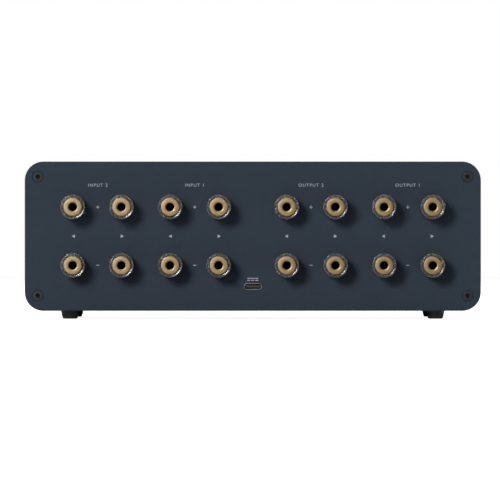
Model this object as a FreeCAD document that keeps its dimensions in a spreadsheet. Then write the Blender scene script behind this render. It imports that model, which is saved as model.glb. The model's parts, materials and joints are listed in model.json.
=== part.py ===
import FreeCAD, Part

import math
import os
import Sketcher
from FreeCAD import Placement, Rotation, Vector

# A desktop speaker selector switch in millimetres. The connection panel with its sixteen
# binding posts faces -Y, the user's panel with meters and selector knobs faces +Y, and +Z is
# up. The origin is the middle of the whole object's footprint, at the height of the soles.

# Driving dimensions
SIZES = {
    # Case
    "case_width": 226.0,
    "case_height": 74.0,
    "case_depth": 130.0,
    "case_corner_radius": 9.25,
    "sleeve_wall": 2.2,
    "rear_panel_thickness": 3.0,
    "front_panel_thickness": 4.0,
    "panel_edge_chamfer": 0.35,
    # Corner screws
    "screw_side_inset": 6.5,
    "screw_top_inset": 7.5,
    "screw_thread_radius": 1.5,
    "screw_hole_clearance": 0.1,
    "screw_head_radius": 2.75,
    "screw_head_recess": 0.3,
    "screw_length": 9.0,
    "screw_socket_width": 2.0,
    "screw_socket_depth": 1.0,
    "screw_port_radius": 4.2,
    # Feet
    "foot_height": 4.0,
    "foot_top_radius": 4.65,
    "foot_sole_radius": 3.6,
    "foot_edge_chamfer": 0.45,
    "foot_side_inset": 22.2,
    "foot_end_inset": 16.0,
    "foot_head_room_radius": 2.9,
    "foot_head_room_depth": 1.9,
    "foot_screw_head_radius": 2.6,
    "foot_screw_head_height": 1.2,
    "foot_screw_length": 6.5,
    # Binding posts
    "post_pitch": 24.0,
    "post_middle_gap": 33.6,
    "post_row_pitch": 28.8,
    "post_reach": 19.2,
    "stem_radius": 3.0,
    "stem_edge_chamfer": 0.3,
    "socket_radius": 2.0,
    "socket_floor": 1.0,
    "stem_flange_radius": 5.2,
    "stem_flange_thickness": 1.5,
    "stem_inner_length": 7.5,
    "tail_radius": 1.5,
    "tail_overhang": 1.4,
    "wire_hole_radius": 1.1,
    "wire_hole_lift": 0.6,
    "insulator_radius": 6.3,
    "insulator_thickness": 2.5,
    "insulator_neck_radius": 4.0,
    "insulator_neck_length": 1.4,
    "insulator_hole_clearance": 0.1,
    "inner_insulator_radius": 5.6,
    "inner_insulator_thickness": 2.0,
    "post_nut_width": 10.0,
    "post_nut_thickness": 2.6,
    # Screw caps of the posts
    "cap_radius": 4.7,
    "cap_rim_chamfer": 0.5,
    "cap_seat_gap": 0.3,
    "cap_front_web": 1.5,
    "cap_end_gap": 0.2,
    "cap_thread_clearance": 0.05,
    "cap_hole_radius": 2.2,
    "cap_hole_chamfer": 0.45,
    "jacket_radius": 6.15,
    "jacket_clearance": 0.05,
    "jacket_recess": 1.3,
    "jacket_flute_depth": 0.55,
    # Power socket
    "socket_drop": 24.9,
    "usb_width": 8.94,
    "usb_height": 3.26,
    "usb_corner_radius": 1.4,
    "usb_wall": 0.3,
    "usb_recess": 0.3,
    "usb_slot_clearance": 0.15,
    "usb_tongue_width": 6.69,
    "usb_tongue_height": 0.7,
    "usb_tongue_recess": 0.9,
    "usb_block_depth": 3.4,
    # Terminal board and relays
    "board_thickness": 1.6,
    "board_width": 198.0,
    "board_height": 60.0,
    "relay_width": 18.0,
    "relay_height": 20.0,
    "relay_depth": 15.5,
    # Meters behind their window
    "window_width": 122.0,
    "window_height": 48.0,
    "window_corner_radius": 4.0,
    "pane_margin": 2.5,
    "pane_thickness": 1.8,
    "meter_width": 60.4,
    "meter_height": 46.0,
    "meter_depth": 22.0,
    "meter_wall": 1.5,
    "dial_margin": 0.5,
    "dial_thickness": 0.8,
    "dial_recess": 6.4,
    "pivot_drop": 14.0,
    "movement_width": 34.0,
    "movement_height": 22.0,
    "movement_drop": 9.0,
    "needle_length": 27.0,
    "needle_half_width": 0.45,
    "needle_tip_half_width": 0.2,
    "needle_thickness": 0.4,
    "needle_hub_radius": 2.0,
    "needle_hub_length": 1.4,
    "needle_dial_gap": 0.5,
    "needle_shaft_radius": 0.75,
    "needle_shaft_length": 8.0,
    "needle_bearing_clearance": 0.05,
    "needle_dial_hole_radius": 1.6,
    "needle_rest_angle": 45.0,
    # Selector knobs and their switches
    "knob_reach": 16.0,
    "knob_edge_distance": 27.0,
    "knob_radius": 14.0,
    "knob_rim_chamfer": 0.8,
    "knob_panel_gap": 0.8,
    "knob_hollow_radius": 9.5,
    "knob_hollow_depth": 6.2,
    "knob_cap_thickness": 2.5,
    "knob_mark_width": 1.2,
    "knob_mark_depth": 0.6,
    "knob_mark_length": 9.0,
    "shaft_radius": 3.0,
    "shaft_clearance": 0.05,
    "shaft_depth": 15.5,
    "bush_radius": 4.5,
    "bush_hole_clearance": 0.1,
    "bush_reach": 4.5,
    "bush_nut_width": 12.0,
    "bush_nut_thickness": 2.2,
    "switch_width": 26.0,
    "switch_bore_floor": 0.5,
    # Meter light button
    "button_drop": 27.0,
    "button_radius": 3.3,
    "button_reach": 2.2,
    "button_edge_chamfer": 0.4,
    "button_hole_clearance": 0.2,
    "button_flange_radius": 4.3,
    "button_flange_gap": 0.3,
    "button_flange_thickness": 0.8,
    "button_rod_radius": 1.6,
    "button_travel": 1.2,
    "button_switch_gap": 0.3,
    "tact_width": 8.0,
    "tact_depth": 4.0,
    "tact_plunger_radius": 1.4,
    "tact_plunger_height": 1.6,
    # Ribbon between the boards
    "ribbon_width": 28.0,
    "ribbon_thickness": 1.2,
    "ribbon_drop": 14.0,
    "ribbon_sag": 12.0,
}
POST_COLUMNS_PER_SIDE = 4
JACKET_FLUTES = 12
HEX_SIDES = 6
COUNTERSINK_ANGLE = 45.0
HALF_TURN = 180.0
FULL_TURN = 360.0

document = FreeCAD.newDocument("SpeakerSelectorSwitch")
sheet = document.addObject("Spreadsheet::Sheet", "Sizes")
for row, (alias, number) in enumerate(SIZES.items(), start=1):
    sheet.set(f"A{row}", alias)
    sheet.set(f"B{row}", str(number))
    sheet.setAlias(f"B{row}", alias)
document.recompute()


class Size:
    """A signed size: its value, and the words that bind it to the cells of the sheet."""

    def __init__(self, value, text):
        self.value = value
        self.text = text

    def __add__(self, other):
        return Size(self.value + of(other).value, f"({self.text} + {of(other).text})")

    def __sub__(self, other):
        return Size(self.value - of(other).value, f"({self.text} - {of(other).text})")

    def __mul__(self, other):
        return Size(self.value * of(other).value, f"({self.text} * {of(other).text})")

    def __truediv__(self, other):
        return Size(self.value / of(other).value, f"({self.text} / {of(other).text})")

    def __neg__(self):
        return Size(-self.value, f"(-1 * {self.text})")


def of(number):
    """A plain number as a size."""
    if isinstance(number, Size):
        return number
    return Size(number, f"({number:.9f})")


class Sheet:
    """The driving dimensions by name."""

    def __getattr__(self, name):
        return Size(SIZES[name], f"Sizes.{name}")


S = Sheet()

# Places that several pieces share
middle_z = S.foot_height + S.case_height / 2
rear_y = (S.post_reach - S.knob_reach) / 2 - S.case_depth / 2
front_y = rear_y + S.case_depth
case_middle_y = rear_y + S.case_depth / 2
screw_x = S.case_width / 2 - S.screw_side_inset
screw_z = S.case_height / 2 - S.screw_top_inset
knob_x = S.case_width / 2 - S.knob_edge_distance
sleeve_length = S.case_depth - S.rear_panel_thickness - S.front_panel_thickness
flange_front = -(S.insulator_thickness + S.stem_flange_thickness)
cap_bottom = flange_front - S.cap_seat_gap
stem_end = -(S.post_reach - S.cap_front_web - S.cap_end_gap)
inner_insulator_end = S.rear_panel_thickness + S.inner_insulator_thickness
board_front = S.rear_panel_thickness + S.stem_inner_length
board_back = board_front + S.board_thickness
pane_back = S.front_panel_thickness + S.pane_thickness
meter_back = pane_back + S.meter_depth
dial_front = pane_back + S.dial_recess
dial_back = dial_front + S.dial_thickness
meter_x = S.meter_width / 2 + S.dial_margin / 4
front_board_back = meter_back + S.board_thickness
tact_top = meter_back - S.tact_depth - S.tact_plunger_height
bush_end = -S.bush_reach
parts = []


def part(made):
    """Keep an object as one of the sub-parts that are written out."""
    parts.append(made)
    return made


def new_body(name, x, y, z, turn=0.0, tilt=0.0):
    """A body whose frame stands at x, y, z, turned about Z and then tilted about its own Y."""
    made = document.addObject("PartDesign::Body", name)
    made.Label = name
    rotation = Rotation(Vector(0, 0, 1), turn) * Rotation(Vector(0, 1, 0), tilt)
    made.Placement = Placement(Vector(of(x).value, of(y).value, of(z).value), rotation)
    for axis, place in (("x", x), ("y", y), ("z", z)):
        made.setExpression(f".Placement.Base.{axis}", of(place).text)
    return made


def rear_body(name, x=0, z=0):
    """A body seated on the connection panel's outer face: -Y is outward, +Y is inward."""
    return new_body(name, x, rear_y, middle_z + z)


def front_body(name, x=0, z=0, tilt=0.0):
    """A body seated on the user's panel, turned round so that +Y is again inward."""
    return new_body(name, -of(x), front_y, middle_z + z, turn=HALF_TURN, tilt=tilt)


def origin_piece(body, role):
    """One of the body's own origin planes or axes."""
    return next(piece for piece in body.Origin.OriginFeatures if piece.Role == role)


def new_sketch(body, name, plane="XZ_Plane", offset=(0, 0, 0)):
    """A sketch on one of the body's planes, moved by x, y, z of the body."""
    made = body.newObject("Sketcher::SketchObject", name)
    made.AttachmentSupport = (origin_piece(body, plane), [""])
    made.MapMode = "FlatFace"
    x, y, z = (of(part_of_offset) for part_of_offset in offset)
    local = (x, z, -y) if plane == "XZ_Plane" else (x, y, z)
    made.AttachmentOffset = Placement(Vector(*(size.value for size in local)), Rotation())
    for axis, size in zip("xyz", local):
        made.setExpression(f".AttachmentOffset.Base.{axis}", size.text)
    return made


def drive(sketch, constraint, size):
    """Add a dimension to a sketch and bind it to the sheet."""
    index = sketch.addConstraint(constraint)
    sketch.renameConstraint(index, f"size_{index}")
    sketch.setExpression(f"Constraints.size_{index}", size.text)


def hold(sketch, edge, point, x, y):
    """Hold one point of an edge at its signed sizes from the sketch's origin."""
    drive(sketch, Sketcher.Constraint("DistanceX", -1, 1, edge, point, x.value), x)
    drive(sketch, Sketcher.Constraint("DistanceY", -1, 1, edge, point, y.value), y)


def flat(point):
    """A sketch point as a vector."""
    return Vector(point[0].value, point[1].value, 0)


def polygon(sketch, corners):
    """A closed outline of straight sides through its corners."""
    points = [(of(x), of(y)) for x, y in corners]
    sides = [
        sketch.addGeometry(Part.LineSegment(flat(start), flat(end)))
        for start, end in zip(points, points[1:] + points[:1])
    ]
    for side, following in zip(sides, sides[1:] + sides[:1]):
        sketch.addConstraint(Sketcher.Constraint("Coincident", side, 2, following, 1))
    for side, point in zip(sides, points):
        hold(sketch, side, 1, *point)


def circle(sketch, x, y, radius):
    """A circle round x, y."""
    x, y, radius = of(x), of(y), of(radius)
    edge = sketch.addGeometry(Part.Circle(flat((x, y)), Vector(0, 0, 1), radius.value))
    hold(sketch, edge, 3, x, y)
    drive(sketch, Sketcher.Constraint("Radius", edge, radius.value), radius)


def arc(sketch, centre, radius, start_angle, end_angle):
    """An arc of a circle, not yet held."""
    round_edge = Part.Circle(Vector(*centre, 0), Vector(0, 0, 1), radius)
    return sketch.addGeometry(Part.ArcOfCircle(round_edge, start_angle, end_angle))


def rounded(sketch, width, height, radius, x=0, y=0):
    """A rectangle with round corners, its middle at x, y."""
    width, height, radius, x, y = (of(size) for size in (width, height, radius, x, y))
    left, right = x - width / 2, x + width / 2
    low, high = y - height / 2, y + height / 2
    ends = [
        ((left + radius, low), (right - radius, low)),
        ((right, low + radius), (right, high - radius)),
        ((right - radius, high), (left + radius, high)),
        ((left, high - radius), (left, low + radius)),
    ]
    centres = [
        (right - radius, low + radius),
        (right - radius, high - radius),
        (left + radius, high - radius),
        (left + radius, low + radius),
    ]
    sides = []
    corners = []
    for quarter, (start, end) in enumerate(ends):
        sides.append(sketch.addGeometry(Part.LineSegment(flat(start), flat(end))))
        middle = flat(centres[quarter])
        angle = (quarter - 1) * math.pi / 2
        centre = (middle.x, middle.y)
        corners.append(arc(sketch, centre, radius.value, angle, angle + math.pi / 2))
    for side, corner, following, (start, end) in zip(sides, corners, sides[1:] + sides[:1], ends):
        hold(sketch, side, 1, *start)
        hold(sketch, side, 2, *end)
        sketch.addConstraint(Sketcher.Constraint("Coincident", side, 2, corner, 1))
        sketch.addConstraint(Sketcher.Constraint("Coincident", corner, 2, following, 1))
        drive(sketch, Sketcher.Constraint("Radius", corner, radius.value), radius)


def rectangle(sketch, width, height, x=0, z=0):
    """A plain rectangle with its middle at x, z."""
    half_width = of(width) / 2
    half_height = of(height) / 2
    corners = [(-1, -1), (1, -1), (1, 1), (-1, 1)]
    polygon(sketch, [
        (half_width * side + x, half_height * level + z) for side, level in corners
    ])


def hexagon(sketch, width, x=0, y=0):
    """A six-sided outline, width across its flats, with flats above and below."""
    corner_radius = of(width) / (2 * math.cos(math.pi / HEX_SIDES))
    turns = [math.tau * corner / HEX_SIDES for corner in range(HEX_SIDES)]
    polygon(sketch, [
        (corner_radius * math.cos(turn) + x, corner_radius * math.sin(turn) + y) for turn in turns
    ])


def pad(body, sketch, depth, taper=0.0):
    """Add material from the sketch's plane inward, along the body's +Y."""
    made = body.newObject("PartDesign::Pad", sketch.Name + "_pad")
    made.Profile = sketch
    made.Reversed = sketch.AttachmentSupport[0][0].Role == "XZ_Plane"
    made.TaperAngle = taper
    made.setExpression("Length", of(depth).text)
    sketch.Visibility = False
    body.Tip = made
    return made


def pocket(body, sketch, depth, taper=0.0):
    """Cut from the sketch's plane inward and check that something was cut."""
    document.recompute()
    before = body.Tip.Shape.Volume
    made = body.newObject("PartDesign::Pocket", sketch.Name + "_cut")
    made.Profile = sketch
    made.TaperAngle = taper
    made.setExpression("Length", of(depth).text)
    body.Tip = made
    document.recompute()
    if made.Shape.Volume >= before:
        raise RuntimeError(f"{body.Label}: {sketch.Label} cuts nothing")
    return made


def cross_pocket(body, sketch, length):
    """Cut to both sides of the sketch's plane."""
    document.recompute()
    before = body.Tip.Shape.Volume
    made = body.newObject("PartDesign::Pocket", sketch.Name + "_cut")
    made.Profile = sketch
    made.Midplane = True
    made.setExpression("Length", of(length).text)
    body.Tip = made
    document.recompute()
    if made.Shape.Volume >= before:
        raise RuntimeError(f"{body.Label}: {sketch.Label} cuts nothing")
    return made


def turned(body, name, profile, plane="XY_Plane", offset=(0, 0, 0)):
    """Turn a profile of radius and distance along the axis about the sketch's upright axis."""
    sketch = new_sketch(body, name, plane, offset)
    polygon(sketch, profile)
    made = body.newObject("PartDesign::Revolution", name + "_turned")
    made.Profile = sketch
    made.ReferenceAxis = (sketch, ["V_Axis"])
    made.Angle = FULL_TURN
    body.Tip = made
    return made


def repeat_along_x(body, step, count):
    """Repeat all that the body holds so far along X."""
    made = body.newObject("PartDesign::LinearPattern", "columns")
    made.Originals = []
    made.TransformMode = "Whole shape"
    made.Direction = (origin_piece(body, "X_Axis"), [""])
    made.Mode = "Spacing"
    made.setExpression("Offset", of(step).text)
    made.Occurrences = count
    body.Tip = made


def mirror(body, *planes):
    """Mirror all that the body holds so far about each of its planes in turn."""
    for plane in planes:
        document.recompute()
        made = body.newObject("PartDesign::Mirrored", "mirrored")
        made.Originals = []
        made.TransformMode = "Whole shape"
        made.MirrorPlane = (origin_piece(body, plane), [""])
        body.Tip = made


def post_places():
    """The sixteen posts from left to right, the top row first."""
    reaches = [
        S.post_middle_gap / 2 + S.post_pitch * column for column in range(POST_COLUMNS_PER_SIDE)
    ]
    columns = [-reach for reach in reversed(reaches)] + reaches
    return [(x, S.post_row_pitch / 2 * row) for row in (1, -1) for x in columns]


def corner_places(x, z):
    """Four places mirrored about the middle."""
    return [(x * side, z * level) for side in (-1, 1) for level in (-1, 1)]


# Case

def case_sleeve():
    """The extruded sleeve with a screw port in each corner."""
    body = part(new_body("case_sleeve", 0, rear_y + S.rear_panel_thickness, middle_z))
    outline = new_sketch(body, "sleeve_outline")
    rounded(outline, S.case_width, S.case_height, S.case_corner_radius)
    wall = S.sleeve_wall
    inner_width = S.case_width - wall * 2
    rounded(outline, inner_width, S.case_height - wall * 2, S.case_corner_radius - wall)
    pad(body, outline, sleeve_length)
    ports = new_sketch(body, "screw_ports")
    for x, z in corner_places(screw_x, screw_z):
        circle(ports, x, z, S.screw_port_radius)
    pad(body, ports, sleeve_length)
    holes = new_sketch(body, "screw_port_holes")
    for x, z in corner_places(screw_x, screw_z):
        circle(holes, x, z, S.screw_thread_radius)
    pocket(body, holes, sleeve_length)
    foot_holes = new_sketch(body, "foot_holes", "XY_Plane", (0, 0, -(S.case_height / 2 - wall / 2)))
    foot_x = S.case_width / 2 - S.foot_side_inset
    for y in (S.foot_end_inset, S.case_depth - S.foot_end_inset):
        for side in (-1, 1):
            circle(foot_holes, foot_x * side, y - S.rear_panel_thickness, S.screw_thread_radius)
    cross_pocket(body, foot_holes, wall * 2)


def panel_plate(body, thickness):
    """A panel's plate with a small chamfer round its outer edge."""
    edge = S.panel_edge_chamfer
    face = new_sketch(body, "face_outline")
    width = S.case_width - edge * 2
    rounded(face, width, S.case_height - edge * 2, S.case_corner_radius - edge)
    pad(body, face, edge, taper=COUNTERSINK_ANGLE)
    plate = new_sketch(body, "plate_outline", offset=(0, edge, 0))
    rounded(plate, S.case_width, S.case_height, S.case_corner_radius)
    pad(body, plate, thickness - edge)
    holes = new_sketch(body, "screw_holes")
    sinks = new_sketch(body, "countersinks")
    hole_radius = S.screw_thread_radius + S.screw_hole_clearance
    for x, z in corner_places(screw_x, screw_z):
        circle(holes, x, z, hole_radius)
        circle(sinks, x, z, S.screw_head_radius + S.screw_head_recess)
    pocket(body, holes, thickness)
    sink_depth = S.screw_head_recess + S.screw_head_radius - hole_radius
    pocket(body, sinks, sink_depth, taper=-COUNTERSINK_ANGLE)


def rear_panel():
    """The connection panel with the holes for the posts and the slot for the power socket."""
    body = part(rear_body("rear_panel"))
    panel_plate(body, S.rear_panel_thickness)
    holes = new_sketch(body, "post_holes")
    for x, z in post_places():
        circle(holes, x, z, S.insulator_neck_radius + S.insulator_hole_clearance)
    pocket(body, holes, S.rear_panel_thickness)
    slot = new_sketch(body, "socket_slot")
    gap = S.usb_slot_clearance
    width = S.usb_width + gap * 2
    rounded(slot, width, S.usb_height + gap * 2, S.usb_corner_radius + gap, 0, -S.socket_drop)
    pocket(body, slot, S.rear_panel_thickness)


def front_panel():
    """The user's panel with its window, the knobs' bush holes and the button's hole."""
    body = part(front_body("front_panel"))
    panel_plate(body, S.front_panel_thickness)
    window = new_sketch(body, "window_opening")
    rounded(window, S.window_width, S.window_height, S.window_corner_radius)
    pocket(body, window, S.front_panel_thickness)
    holes = new_sketch(body, "control_holes")
    for side in (-1, 1):
        circle(holes, knob_x * side, 0, S.bush_radius + S.bush_hole_clearance)
    circle(holes, knob_x, -S.button_drop, S.button_radius + S.button_hole_clearance)
    pocket(body, holes, S.front_panel_thickness)


def panel_screws():
    """Eight countersunk screws with hexagon sockets, four in each panel."""
    body = part(new_body("panel_screws", 0, case_middle_y, middle_z))
    top = S.screw_head_recess - S.case_depth / 2
    head_end = top + S.screw_head_radius - S.screw_thread_radius
    turned(body, "screw_profile", [
        (0, top),
        (S.screw_head_radius, top),
        (S.screw_thread_radius, head_end),
        (S.screw_thread_radius, top + S.screw_length),
        (0, top + S.screw_length),
    ], offset=(screw_x, 0, screw_z))
    socket = new_sketch(body, "screw_socket", offset=(screw_x, top, screw_z))
    hexagon(socket, S.screw_socket_width)
    pocket(body, socket, S.screw_socket_depth)
    mirror(body, "YZ_Plane", "XY_Plane", "XZ_Plane")


def feet():
    """Four tapered rubber feet, hollowed for their screws' heads."""
    body = part(new_body("feet", 0, case_middle_y, 0))
    hole = S.screw_thread_radius
    turned(body, "foot_profile", [
        (hole, S.foot_height),
        (S.foot_top_radius, S.foot_height),
        (S.foot_sole_radius + S.foot_edge_chamfer, S.foot_edge_chamfer),
        (S.foot_sole_radius, 0),
        (S.foot_head_room_radius, 0),
        (S.foot_head_room_radius, S.foot_head_room_depth),
        (hole, S.foot_head_room_depth),
    ], "XZ_Plane", (S.case_width / 2 - S.foot_side_inset, S.foot_end_inset - S.case_depth / 2, 0))
    mirror(body, "YZ_Plane", "XZ_Plane")


def foot_screws():
    """Four pan head screws that hold the feet to the sleeve."""
    body = part(new_body("foot_screws", 0, case_middle_y, 0))
    seat = S.foot_head_room_depth
    head = seat - S.foot_screw_head_height
    turned(body, "foot_screw_profile", [
        (0, head),
        (S.foot_screw_head_radius, head),
        (S.foot_screw_head_radius, seat),
        (S.screw_thread_radius, seat),
        (S.screw_thread_radius, seat + S.foot_screw_length),
        (0, seat + S.foot_screw_length),
    ], "XZ_Plane", (S.case_width / 2 - S.foot_side_inset, S.foot_end_inset - S.case_depth / 2, 0))
    mirror(body, "YZ_Plane", "XZ_Plane")


# Binding posts

def posts_node(name, profile):
    """Sixteen turned pieces, one for each post, from the profile of one."""
    body = part(rear_body(name))
    place = (S.post_middle_gap / 2, 0, S.post_row_pitch / 2)
    turned(body, name + "_profile", profile, offset=place)
    return body


def spread_posts(body):
    """Repeat the first post's piece at all sixteen posts."""
    document.recompute()
    repeat_along_x(body, S.post_pitch, POST_COLUMNS_PER_SIDE)
    mirror(body, "YZ_Plane", "XY_Plane")


def post_stems():
    """The plated stems: a plug socket outside, a flange, a thread and a solder tail inside."""
    edge = S.stem_edge_chamfer
    body = posts_node("post_stems", [
        (S.socket_radius, stem_end + edge),
        (S.socket_radius + edge, stem_end),
        (S.stem_radius - edge, stem_end),
        (S.stem_radius, stem_end + edge),
        (S.stem_radius, flange_front),
        (S.stem_flange_radius, flange_front),
        (S.stem_flange_radius, -S.insulator_thickness),
        (S.stem_radius, -S.insulator_thickness),
        (S.stem_radius, board_front),
        (S.tail_radius, board_front),
        (S.tail_radius, board_back + S.tail_overhang),
        (0, board_back + S.tail_overhang),
        (0, -S.socket_floor),
        (S.socket_radius, -S.socket_floor),
    ])
    hole_y = flange_front - S.wire_hole_lift - S.wire_hole_radius
    place = (S.post_middle_gap / 2, hole_y, S.post_row_pitch / 2)
    hole = new_sketch(body, "wire_hole", "XY_Plane", place)
    circle(hole, 0, 0, S.wire_hole_radius)
    cross_pocket(body, hole, S.stem_radius * 4)
    spread_posts(body)


def outer_insulators():
    """Shouldered washers between the stems' flanges and the panel."""
    spread_posts(posts_node("outer_insulators", [
        (S.stem_radius, -S.insulator_thickness),
        (S.insulator_radius, -S.insulator_thickness),
        (S.insulator_radius, 0),
        (S.insulator_neck_radius, 0),
        (S.insulator_neck_radius, S.insulator_neck_length),
        (S.stem_radius, S.insulator_neck_length),
    ]))


def inner_insulators():
    """Flat washers under the nuts inside the panel."""
    spread_posts(posts_node("inner_insulators", [
        (S.stem_radius, S.rear_panel_thickness),
        (S.inner_insulator_radius, S.rear_panel_thickness),
        (S.inner_insulator_radius, inner_insulator_end),
        (S.stem_radius, inner_insulator_end),
    ]))


def post_nuts():
    """Hexagon nuts that clamp the stems to the panel."""
    body = part(rear_body("post_nuts"))
    place = (S.post_middle_gap / 2, inner_insulator_end, S.post_row_pitch / 2)
    outline = new_sketch(body, "nut_outline", offset=place)
    hexagon(outline, S.post_nut_width)
    circle(outline, 0, 0, S.stem_radius)
    pad(body, outline, S.post_nut_thickness)
    spread_posts(body)


def cap_nut(name, x, z):
    """One post's plated screw cap, with its plug hole in the front."""
    body = part(rear_body(name, x, z))
    front = -S.post_reach
    web = front + S.cap_front_web
    thread = S.stem_radius + S.cap_thread_clearance
    turned(body, "cap_profile", [
        (thread, cap_bottom),
        (S.cap_radius, cap_bottom),
        (S.cap_radius, front + S.cap_rim_chamfer),
        (S.cap_radius - S.cap_rim_chamfer, front),
        (S.cap_hole_radius + S.cap_hole_chamfer, front),
        (S.cap_hole_radius, front + S.cap_hole_chamfer),
        (S.cap_hole_radius, web),
        (thread, web),
    ])
    return body


def fluted(sketch, radius, depth):
    """A round outline with shallow flutes all round, as arcs that meet end to end."""
    half_step = math.pi / (2 * JACKET_FLUTES)
    half_chord = radius * math.sin(half_step)
    rise = radius - radius * math.cos(half_step)
    hollow = depth - rise
    flute_radius = (half_chord * half_chord + hollow * hollow) / (hollow * 2)
    flute_centre = radius.value - depth.value + flute_radius.value
    opening = math.asin(half_chord.value / flute_radius.value)
    ridges = []
    flutes = []
    for count in range(JACKET_FLUTES):
        turn = math.tau * count / JACKET_FLUTES
        after = turn + 2 * half_step
        ridges.append(arc(sketch, (0, 0), radius.value, turn - half_step, turn + half_step))
        centre = (flute_centre * math.cos(after), flute_centre * math.sin(after))
        back = after + math.pi
        flutes.append(arc(sketch, centre, flute_radius.value, back - opening, back + opening))
    for count, (ridge, flute) in enumerate(zip(ridges, flutes)):
        following = ridges[(count + 1) % JACKET_FLUTES]
        turn = math.tau * count / JACKET_FLUTES
        sketch.addConstraint(Sketcher.Constraint("Coincident", ridge, 2, flute, 2))
        sketch.addConstraint(Sketcher.Constraint("Coincident", flute, 1, following, 1))
        for point, angle in ((1, turn - half_step), (2, turn + half_step)):
            hold(sketch, ridge, point, radius * math.cos(angle), radius * math.sin(angle))
        drive(sketch, Sketcher.Constraint("Radius", ridge, radius.value), radius)
        drive(sketch, Sketcher.Constraint("Radius", flute, flute_radius.value), flute_radius)


def cap_jacket(name, x, z):
    """One post's clear fluted grip round its screw cap."""
    body = part(rear_body(name, x, z))
    front = S.jacket_recess - S.post_reach
    outline = new_sketch(body, "jacket_outline", offset=(0, front, 0))
    fluted(outline, S.jacket_radius, S.jacket_flute_depth)
    circle(outline, 0, 0, S.cap_radius + S.jacket_clearance)
    pad(body, outline, cap_bottom - front)
    return body


def same_piece(first, name, x, z):
    """Another body with the first one's shape, at a post of its own."""
    body = part(rear_body(name, x, z))
    body.BaseFeature = first


def screw_caps():
    """A cap and its grip on every post, numbered from the top left."""
    places = post_places()
    first_nut = cap_nut("cap_nut_01", *places[0])
    first_jacket = cap_jacket("cap_jacket_01", *places[0])
    for number, (x, z) in enumerate(places[1:], start=2):
        same_piece(first_nut, f"cap_nut_{number:02d}", x, z)
        same_piece(first_jacket, f"cap_jacket_{number:02d}", x, z)


# Power socket, board and relays

def usb_c_shell():
    """The metal shell of the power socket, open at the panel."""
    body = part(rear_body("usb_c_shell"))
    outline = new_sketch(body, "shell_outline", offset=(0, S.usb_recess, 0))
    wall = S.usb_wall
    rounded(outline, S.usb_width, S.usb_height, S.usb_corner_radius, 0, -S.socket_drop)
    inner_width = S.usb_width - wall * 2
    inner_height = S.usb_height - wall * 2
    rounded(outline, inner_width, inner_height, S.usb_corner_radius - wall, 0, -S.socket_drop)
    pad(body, outline, board_front - S.usb_recess)


def usb_c_tongue():
    """The contact tongue and the block that carries it at the back of the shell."""
    body = part(rear_body("usb_c_tongue"))
    block_front = board_front - S.usb_block_depth
    block = new_sketch(body, "block_outline", offset=(0, block_front, 0))
    wall = S.usb_wall
    width = S.usb_width - wall * 2
    height = S.usb_height - wall * 2
    rounded(block, width, height, S.usb_corner_radius - wall, 0, -S.socket_drop)
    pad(body, block, S.usb_block_depth)
    tongue_front = S.usb_recess + S.usb_tongue_recess
    tongue = new_sketch(body, "tongue_outline", offset=(0, tongue_front, 0))
    rectangle(tongue, S.usb_tongue_width, S.usb_tongue_height, 0, -S.socket_drop)
    pad(body, tongue, block_front - tongue_front)


def board_outline(body, y, width):
    """A board's straight outline."""
    outline = new_sketch(body, "board_outline", offset=(0, y, 0))
    rectangle(outline, width, S.board_height)
    return outline


def terminal_board():
    """The circuit board that the posts' tails are soldered into."""
    body = part(rear_body("terminal_board"))
    outline = board_outline(body, board_front, S.board_width)
    for x, z in post_places():
        circle(outline, x, z, S.tail_radius)
    pad(body, outline, S.board_thickness)


def relays():
    """One relay behind each column of posts."""
    body = part(rear_body("relays"))
    outline = new_sketch(body, "relay_outline", offset=(S.post_middle_gap / 2, board_back, 0))
    rectangle(outline, S.relay_width, S.relay_height)
    pad(body, outline, S.relay_depth)
    document.recompute()
    repeat_along_x(body, S.post_pitch, POST_COLUMNS_PER_SIDE)
    mirror(body, "YZ_Plane")


def front_board():
    """The circuit board behind the meters, as wide as the selector switches reach."""
    body = part(front_body("front_board"))
    width = (knob_x + S.switch_width / 2) * 2
    pad(body, board_outline(body, meter_back, width), S.board_thickness)


def ribbon_cable():
    """The flat cable that hangs in a shallow arc between the two boards."""
    start = rear_y + board_back
    body = part(new_body("ribbon_cable", 0, start, middle_z - S.ribbon_drop))
    span = S.case_depth - board_back - front_board_back
    sag = S.ribbon_sag
    radius = (span * span / 4 + sag * sag) / (sag * 2)
    sketch = new_sketch(body, "ribbon_side", "YZ_Plane", (0, 0, 0))
    half_angle = math.asin(span.value / 2 / radius.value)
    low = -math.pi / 2
    arcs = []
    for drop in (of(0), S.ribbon_thickness):
        centre = (span.value / 2, radius.value - sag.value - drop.value)
        edge = arc(sketch, centre, radius.value, low - half_angle, low + half_angle)
        hold(sketch, edge, 1, of(0), -drop)
        hold(sketch, edge, 2, span, -drop)
        drive(sketch, Sketcher.Constraint("Radius", edge, radius.value), radius)
        arcs.append(edge)
    for point, y in ((1, 0.0), (2, span.value)):
        ends = (Vector(y, 0, 0), Vector(y, -S.ribbon_thickness.value, 0))
        line = sketch.addGeometry(Part.LineSegment(*ends))
        sketch.addConstraint(Sketcher.Constraint("Coincident", line, 1, arcs[0], point))
        sketch.addConstraint(Sketcher.Constraint("Coincident", line, 2, arcs[1], point))
    made = pad(body, sketch, S.ribbon_width)
    made.Midplane = True


# Meters

def meter_window():
    """The clear pane behind the front panel's opening."""
    body = part(front_body("meter_window"))
    outline = new_sketch(body, "pane_outline", offset=(0, S.front_panel_thickness, 0))
    margin = S.pane_margin
    width = S.window_width + margin * 2
    rounded(outline, width, S.window_height + margin * 2, S.window_corner_radius + margin)
    pad(body, outline, S.pane_thickness)


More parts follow.
